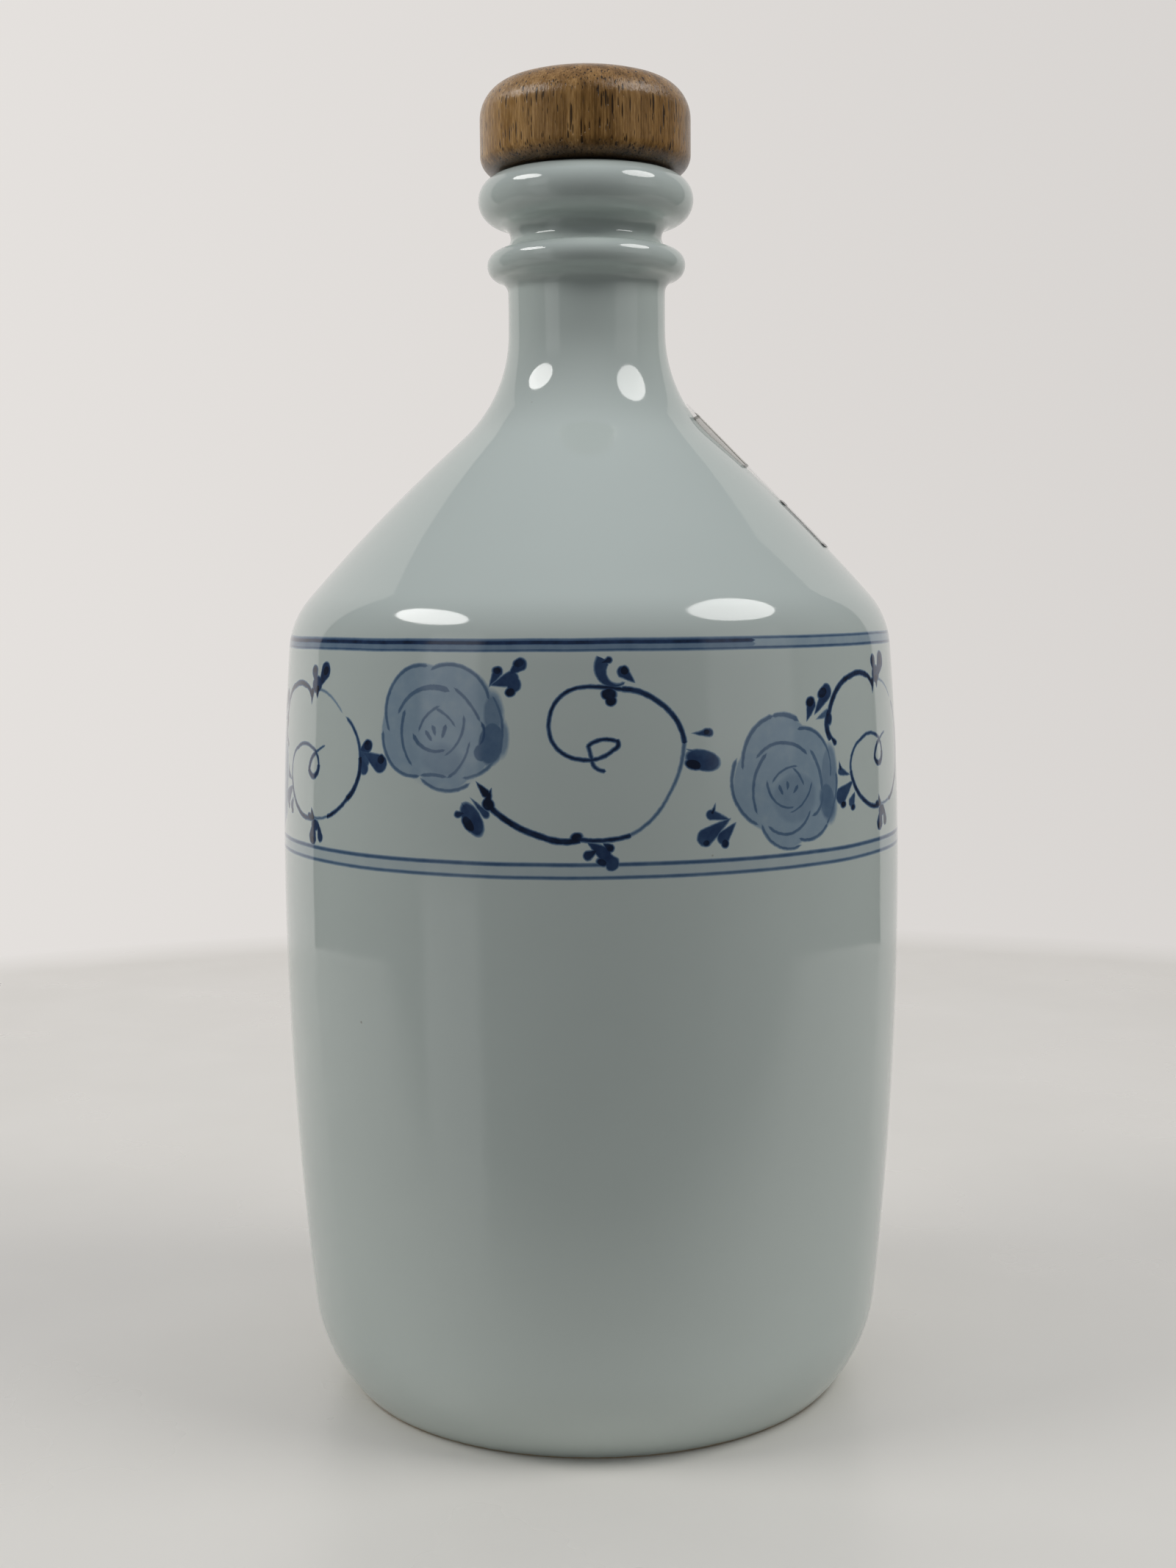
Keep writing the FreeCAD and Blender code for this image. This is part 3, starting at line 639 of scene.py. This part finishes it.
def wood_material():
    """An oiled hardwood, grain upright: long fibres, soft streaks, and open pores as dark dashes."""
    material, nodes, shader, place = new_material("cap_wood")
    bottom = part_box("wooden_cap")[0].z / MM
    fibres = nodes.noise(nodes.vector("MULTIPLY", place, (1.0, 1.0, 0.035)), 0.24, 3.0, 0.6)
    streaks = nodes.noise(nodes.vector("MULTIPLY", place, (1.0, 1.0, 0.03)), 1.7, 3.0, 0.55)
    flecks = nodes.noise(nodes.vector("MULTIPLY", place, (1.0, 1.0, 0.22)), 0.4, 2.0)
    tone = nodes.math("MULTIPLY_ADD", fibres, 0.6, nodes.math("MULTIPLY", streaks, 0.6))
    tone = nodes.math("MULTIPLY_ADD", flecks, 0.35, tone)
    x, _, height = nodes.split(place)
    sapwood = nodes.spread(nodes.math("MULTIPLY_ADD", streaks, 9.0, x), -14.0, 4.0, 0.16, 0.0)
    tone = nodes.math("ADD", tone, sapwood)
    colour = nodes.ramp(nodes.spread(tone, 0.5, 1.05), [
        (0.0, (0.085, 0.042, 0.01)),
        (0.35, (0.205, 0.105, 0.029)),
        (0.65, (0.345, 0.188, 0.06)),
        (1.0, (0.57, 0.34, 0.135)),
    ])

    def pores(width, length, least, most):
        """Spindle shaped pores: 1 inside, 0 outside."""
        stretched = nodes.vector("MULTIPLY", place, (1.0, 1.0, width / length))
        off, number = nodes.cells(stretched, width)
        size = nodes.spread(number, 0.2, 1.0, least, most)
        inside = nodes.math("SUBTRACT", size, off)
        return nodes.math("MULTIPLY", inside, 12.0, clamp=True)

    pore = nodes.math("MAXIMUM", pores(0.55, 6.0, 0.02, 0.4), pores(0.33, 2.6, 0.0, 0.36))
    colour = nodes.mix(nodes.math("MULTIPLY", pore, 0.88), colour, (0.02, 0.01, 0.004))
    # Darker towards the edge that rests on the lip: partly grime, partly painted shade under the cap's lower
    # rounding.
    grime_and_shade = nodes.math("MULTIPLY_ADD", streaks, 1.6, nodes.math("SUBTRACT", height, bottom))
    # Grime and painted shade: near black at the lower edge, fading out a few millimetres up.
    colour = nodes.mix(nodes.spread(grime_and_shade, 1.2, 3.3, 0.82, 0.0), colour, (0.026, 0.015, 0.008))
    nodes.feed(shader.inputs["Base Color"], colour)
    shader.inputs["Specular IOR Level"].default_value = 0.36
    nodes.feed(shader.inputs["Roughness"], nodes.math("MULTIPLY_ADD", flecks, 0.16, 0.09))
    relief = nodes.math("MULTIPLY_ADD", pore, -1.0, nodes.math("MULTIPLY", fibres, 0.9))
    nodes.feed(shader.inputs["Normal"], nodes.bump(relief, 0.00011, 1.0))
    return material


def plug_material():
    """The moulded plug: milky polyethylene, faintly flow-marked and satin."""
    material, nodes, shader, place = new_material("moulded_plug")
    flow = nodes.noise(nodes.vector("MULTIPLY", place, (1.0, 1.0, 0.35)), 3.5, 3.0)
    nodes.feed(shader.inputs["Base Color"], nodes.mix(flow, (0.72, 0.71, 0.66), (0.8, 0.79, 0.75)))
    nodes.feed(shader.inputs["Roughness"], nodes.spread(flow, 0.3, 0.7, 0.32, 0.45))
    fine = nodes.noise(place, 0.35, 2.0)
    nodes.feed(shader.inputs["Normal"], nodes.bump(fine, 0.00001, 0.6))
    return material


def seal_material():
    """The sealing rings: milky white silicone rubber with a dusting of bloom."""
    material, nodes, shader, place = new_material("seal_rubber")
    bloom = nodes.noise(place, 1.6, 3.0)
    nodes.feed(shader.inputs["Base Color"], nodes.mix(bloom, (0.74, 0.74, 0.72), (0.84, 0.84, 0.82)))
    nodes.feed(shader.inputs["Roughness"], nodes.spread(bloom, 0.3, 0.7, 0.4, 0.6))
    nodes.feed(shader.inputs["Normal"], nodes.bump(bloom, 0.00002, 0.5))
    return material


def film_material():
    """The clear film label: a blank gilt panel at the top, and a blank window in a dark frame below."""
    material, nodes, shader, place = new_material("label_film")
    lowest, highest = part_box("shoulder_label")
    length = (highest.z - lowest.z) / MM
    across = nodes.vector("DOT_PRODUCT", place, (math.sin(LABEL_ANGLE), math.cos(LABEL_ANGLE), 0.0))
    height = nodes.math("SUBTRACT", nodes.split(place)[2], lowest.z / MM)

    def between(value, least, most):
        above = nodes.math("GREATER_THAN", value, least)
        return nodes.math("MULTIPLY", above, nodes.math("LESS_THAN", value, most))

    def field(foot, head, margin=0.0):
        """A rectangle of print, with this margin left free all round. Heights are from the label's foot."""
        along = between(height, foot + margin, head - margin)
        return nodes.math("MULTIPLY", between(across, margin, LABEL_WIDTH - margin), along)

    def panel(foot, head, rule):
        """A printed panel: its whole field, and the ruled line round it."""
        whole = field(foot, head)
        return whole, nodes.math("SUBTRACT", whole, field(foot, head, rule))

    gilt, gilt_rule = panel(0.58 * length, length - 1.5, 0.35)
    window, window_rule = panel(0.3, 0.33 * length, 0.65)
    crinkle = nodes.noise(place, 1.5, 3.0)
    gilt_colour = nodes.mix(crinkle, (0.3, 0.285, 0.2), (0.42, 0.4, 0.31))
    colour = nodes.mix(gilt, (0.62, 0.64, 0.62), gilt_colour)
    colour = nodes.mix(gilt_rule, colour, (0.16, 0.148, 0.105))
    colour = nodes.mix(window_rule, colour, (0.05, 0.052, 0.05))
    nodes.feed(shader.inputs["Base Color"], colour)
    cover = nodes.math("MAXIMUM", nodes.math("MULTIPLY", gilt, 0.38), nodes.math("MULTIPLY", window, 0.25))
    rules = nodes.math("MULTIPLY", nodes.math("MAXIMUM", gilt_rule, window_rule), 0.85)
    cover = nodes.math("MAXIMUM", cover, rules)
    nodes.feed(shader.inputs["Alpha"], nodes.math("MAXIMUM", cover, 0.1))
    nodes.feed(shader.inputs["Roughness"], nodes.spread(crinkle, 0.3, 0.7, 0.12, 0.2))
    nodes.feed(shader.inputs["Normal"], nodes.bump(crinkle, 0.00003, 0.6))
    return material


# ---------------------------------------------------------------- turned pieces

def outline_of(node):
    """The (radius, height) points of a turned node, in order along its mesh's seam, solid on the left."""
    mesh = node.data
    seam = {}
    for vertex in mesh.vertices:
        if abs(vertex.co.y) < TINY and vertex.co.x > -TINY:
            seam[vertex.index] = (round(vertex.co.x, 6), round(vertex.co.z, 6))
    links = {}
    for edge in mesh.edges:
        first, second = (seam.get(index) for index in edge.vertices)
        if first and second and first != second:
            links.setdefault(first, set()).add(second)
            links.setdefault(second, set()).add(first)
    here = min(point for point, others in links.items() if len(others) == 1)
    outline = [Vector(here)]
    while links[here]:
        following = links[here].pop()
        links[following].discard(here)
        outline.append(Vector(following))
        here = following
    swept = [on_axis(outline[0]), *outline, on_axis(outline[-1])]
    area = sum(before.cross(after) for before, after in zip(swept, swept[1:]))
    return outline if area > 0 else outline[::-1]


def on_axis(point):
    return Vector((0.0, point.y))


def smoothed(outline, step):
    """The outline with its long pieces divided along a smooth curve. Sharp corners stay sharp."""
    pieces = [after - before for before, after in zip(outline, outline[1:])]
    fine = [outline[0]]
    for index, piece in enumerate(pieces):
        slopes = []
        for other in (index - 1, index + 1):
            slope = piece
            if 0 <= other < len(pieces) and pieces[other].angle(piece) < CORNER:
                slope = piece + pieces[other]
            slopes.append(slope.normalized() * piece.length)
        start, end = outline[index], outline[index + 1]
        count = max(1, round(piece.length / step))
        for number in range(1, count + 1):
            t = number / count
            fine.append(
                start * (2 * t**3 - 3 * t**2 + 1)
                + slopes[0] * (t**3 - 2 * t**2 + t)
                + end * (3 * t**2 - 2 * t**3)
                + slopes[1] * (t**3 - t**2)
            )
    return fine


def circle(radius, height, around):
    """Points evenly round the bottle's axis."""
    angles = [2 * math.pi * turn / around for turn in range(around)]
    return [(radius * math.cos(angle), radius * math.sin(angle), height) for angle in angles]


def smooth_piece(name, vertices, faces, materials):
    """An object of smooth-shaded faces, with these materials in its slots."""
    mesh = bpy.data.meshes.new(name)
    mesh.from_pydata(vertices, [], faces)
    for material in materials:
        mesh.materials.append(material)
    mesh.shade_smooth()
    piece = bpy.data.objects.new(name, mesh)
    bpy.context.scene.collection.objects.link(piece)
    return piece


def turned(name, node, step, materials, choose=None):
    """A node of revolution made again as a finer mesh. choose(radius, height) gives a face's material."""
    outline = smoothed(outline_of(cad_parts[node]), step)
    if outline[0].x > TINY:
        outline.insert(0, on_axis(outline[0]))
    if outline[-1].x > TINY:
        outline.append(on_axis(outline[-1]))
    vertices, rows = [], []
    for radius, height in outline:
        if radius < TINY:
            rows.append([len(vertices)] * AROUND)
            vertices.append((0.0, 0.0, height))
        else:
            rows.append(range(len(vertices), len(vertices) + AROUND))
            vertices += circle(radius, height, AROUND)
    faces, slots = [], []
    for number, (lower, upper) in enumerate(zip(rows, rows[1:])):
        middle = (outline[number] + outline[number + 1]) / 2
        slot = choose(middle.x, middle.y) if choose else 0
        for turn in range(AROUND):
            after = (turn + 1) % AROUND
            corners = (lower[turn], lower[after], upper[after], upper[turn])
            faces.append(tuple(dict.fromkeys(corners)))
            slots.append(slot)
    piece = smooth_piece(name, vertices, faces, materials)
    piece.data.polygons.foreach_set("material_index", slots)
    piece.data.set_sharp_from_angle(angle=CORNER)
    piece.data.update()
    return piece


def on_band(radius, height):
    """The painted band's slot, or the plain glaze's."""
    return int(radius > 0.9 * BAND_RADIUS * MM and BAND_LOW * MM < height < BAND_HIGH * MM)


def make_bottle():
    materials = [glaze_material(), band_material()]
    bottle = turned("porcelain_bottle", "porcelain_body", 1.3 * MM, materials, on_band)
    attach(bottle, "bottle")
    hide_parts("porcelain_body")


def make_cap():
    cap = turned("turned_wooden_cap", "wooden_cap", 0.4 * MM, [wood_material()])
    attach(cap, "stopper")
    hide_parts("wooden_cap")


def dress(node, material):
    """Gives a CAD node that is shown as it is its material."""
    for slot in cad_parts[node].material_slots:
        slot.material = material


# ---------------------------------------------------------------- studio

FLOOR_RADIUS = 0.44
WALL_RADIUS = 0.64
WALL_HEIGHT = 0.75
WALL_SIDES = 144
# The part of the wall that counts as the back, in degrees anticlockwise from the bottle's right side.
BACK_WALL = (37.5, 152.5)

# The lamps' distance from the point that they face.
LAMP_DISTANCE = 0.8
LAMP_TARGET = Vector((0.0, 0.0, 0.12))

# Where the camera stands, how it is tipped and rolled in degrees, and its lens and sensor in millimetres.
CAMERA_PLACE = (-0.00047, -0.34108, 0.1352)
CAMERA_TIP = 84.4775
CAMERA_ROLL = -0.4922
CAMERA_LENS = 45.48
CAMERA_SENSOR = 36.0


def backdrop_material():
    """Pale floor that runs out into a backdrop that glows with painted light, a little brighter on the left.
    """
    material, nodes, shader, place = new_material("pale_backdrop")
    x, y, _ = nodes.split(place)
    clouds = nodes.noise(place, 90.0, 4.0)
    nodes.feed(shader.inputs["Base Color"], nodes.mix(clouds, (0.73, 0.71, 0.66), (0.83, 0.81, 0.765)))
    smears = nodes.noise(place, 60.0, 4.0)
    nodes.feed(shader.inputs["Roughness"], nodes.spread(smears, 0.3, 0.7, 0.22, 0.42))
    # The wall glows with painted light, brighter on the left than on the right.
    side = nodes.spread(x, -400.0, 400.0)
    glow = nodes.mix(side, (0.8, 0.77, 0.745), (0.67, 0.645, 0.625))
    lit = nodes.add("ShaderNodeEmission", [glow, 1.0]).outputs[0]
    distance = nodes.vector("LENGTH", nodes.join(x, y, 0.0))
    wall = nodes.spread(distance, FLOOR_RADIUS / MM - 25.0, FLOOR_RADIUS / MM + 15.0)
    both = nodes.add("ShaderNodeMixShader", [wall, shader.outputs[0], lit]).outputs[0]
    # The table ends just in front of the bottle, out of view, so the glaze mirrors the room from there on.
    seen = nodes.add("ShaderNodeLightPath").outputs["Is Camera Ray"]
    table = nodes.math("MAXIMUM", seen, nodes.spread(y, -150.0, -80.0))
    room = nodes.add("ShaderNodeBsdfTransparent").outputs[0]
    both = nodes.add("ShaderNodeMixShader", [table, room, both]).outputs[0]
    nodes.feed(material.node_tree.nodes["Material Output"].inputs["Surface"], both)
    return material


def make_stage():
    """A round cove. The glaze sees only its floor and its back, so that it mirrors a dark room in front."""
    profile = [(0.0, 0.0), (FLOOR_RADIUS / 2, 0.0)]
    bend = WALL_RADIUS - FLOOR_RADIUS
    bend_steps = 16
    for step in range(bend_steps + 1):
        angle = math.pi / 2 * step / bend_steps
        profile.append((FLOOR_RADIUS + bend * math.sin(angle), bend * (1 - math.cos(angle))))
    profile.append((WALL_RADIUS, WALL_HEIGHT))
    material = backdrop_material()
    floor_rows = 3
    first, last = (round(WALL_SIDES * angle / 360) for angle in BACK_WALL)
    parts = {
        "floor": (profile[:floor_rows], range(WALL_SIDES)),
        "back_wall": (profile[floor_rows - 1:], range(first, last)),
        "front_wall": (profile[floor_rows - 1:], range(last, WALL_SIDES + first)),
    }
    for name, (points, turns) in parts.items():
        vertices, faces = [], []
        for radius, height in points:
            vertices += circle(radius, height, WALL_SIDES)
        for row in range(len(points) - 1):
            lower, upper = row * WALL_SIDES, (row + 1) * WALL_SIDES
            for turn in turns:
                before, after = turn % WALL_SIDES, (turn + 1) % WALL_SIDES
                faces.append((lower + before, lower + after, upper + after, upper + before))
        piece = smooth_piece(name, vertices, faces, [material])
        if name == "front_wall":
            piece.visible_glossy = False
            piece.visible_diffuse = False
            piece.visible_shadow = False


def direction(azimuth, elevation):
    """Unit vector: azimuth 0 is towards the camera and 90 is to its right, in degrees."""
    azimuth, elevation = math.radians(azimuth), math.radians(elevation)
    level = math.cos(elevation)
    return Vector((math.sin(azimuth) * level, -math.cos(azimuth) * level, math.sin(elevation)))


def softbox(name, azimuth, elevation, wide, tall, brightness):
    """An oval lamp that fills this many degrees as the bottle sees it."""
    light = bpy.data.lights.new(name, "AREA")
    light.shape = "ELLIPSE"
    light.size = 2 * LAMP_DISTANCE * math.tan(math.radians(wide / 2))
    light.size_y = 2 * LAMP_DISTANCE * math.tan(math.radians(tall / 2))
    area = math.pi / 4 * light.size * light.size_y
    light.energy = brightness * math.pi * area
    light.color = (1.0, 0.985, 0.965)
    lamp = bpy.data.objects.new(name, light)
    toward = direction(azimuth, elevation)
    lamp.location = LAMP_TARGET + toward * LAMP_DISTANCE
    lamp.rotation_euler = toward.to_track_quat("Z", "Y").to_euler()
    lamp.visible_camera = False
    bpy.context.scene.collection.objects.link(lamp)


def light_room():
    """The room that the glaze mirrors: dark in front, paler and bluer overhead, a pale panel each side."""
    world = bpy.data.worlds.new("room")
    bpy.context.scene.world = world
    world.use_nodes = True
    nodes = Nodes(world.node_tree)
    x, y, z = nodes.split(nodes.add("ShaderNodeTexCoord").outputs["Generated"])
    azimuth = nodes.math("ARCTAN2", x, nodes.math("MULTIPLY", y, -1.0))
    azimuth = nodes.math("DEGREES", azimuth)
    elevation = nodes.math("DEGREES", nodes.math("ARCSINE", z))
    colour = nodes.ramp(nodes.spread(elevation, -10.0, 80.0), [
        (0.0, (0.06, 0.06, 0.06)),
        (0.3, (0.09, 0.093, 0.095)),
        (1.0, (0.42, 0.445, 0.51)),
    ])
    # Each panel is at full glow above eye level, and gives only a share of it below.
    above = nodes.spread(elevation, -2.5, 1.0)
    below = nodes.spread(elevation, -8.5, -5.0, 1.0, 0.0)
    soft = 2.0
    for near, far, glow, share_below in ((-63.0, -41.0, 0.8, 0.7), (43.0, 79.0, 0.5, 0.15)):
        left = nodes.spread(azimuth, near - soft, near + soft)
        right = nodes.spread(azimuth, far - soft, far + soft, 1.0, 0.0)
        low = nodes.spread(elevation, 22.0, 32.0, 1.0, 0.0)
        panel = nodes.math("MULTIPLY", nodes.math("MULTIPLY", left, right), low)
        panel = nodes.math("MULTIPLY", panel, nodes.math("MULTIPLY_ADD", below, share_below, above))
        colour = nodes.mix(panel, colour, (glow, glow, glow))
    nodes.feed(world.node_tree.nodes["Background"].inputs["Color"], colour)


def place_camera():
    camera = bpy.data.objects.new("camera", bpy.data.cameras.new("camera"))
    camera.data.sensor_fit = "VERTICAL"
    camera.data.sensor_height = CAMERA_SENSOR
    camera.data.lens = CAMERA_LENS
    tip = Matrix.Rotation(math.radians(CAMERA_TIP), 4, "X")
    roll = Matrix.Rotation(math.radians(CAMERA_ROLL), 4, "Z")
    camera.matrix_world = Matrix.Translation(CAMERA_PLACE) @ tip @ roll
    bpy.context.scene.collection.objects.link(camera)
    bpy.context.scene.camera = camera


place_camera()
light_room()
softbox("left_softbox", azimuth=-74.0, elevation=42.0, wide=30.0, tall=15.0, brightness=9.9)
softbox("right_softbox", azimuth=71.5, elevation=48.0, wide=31.0, tall=23.0, brightness=7.4)
make_stage()
make_bottle()
make_cap()
dress("stopper_plug", plug_material())
seal = seal_material()
dress("upper_seal_ring", seal)
dress("lower_seal_ring", seal)
dress("shoulder_label", film_material())
bpy.context.scene.view_settings.view_transform = "Standard"
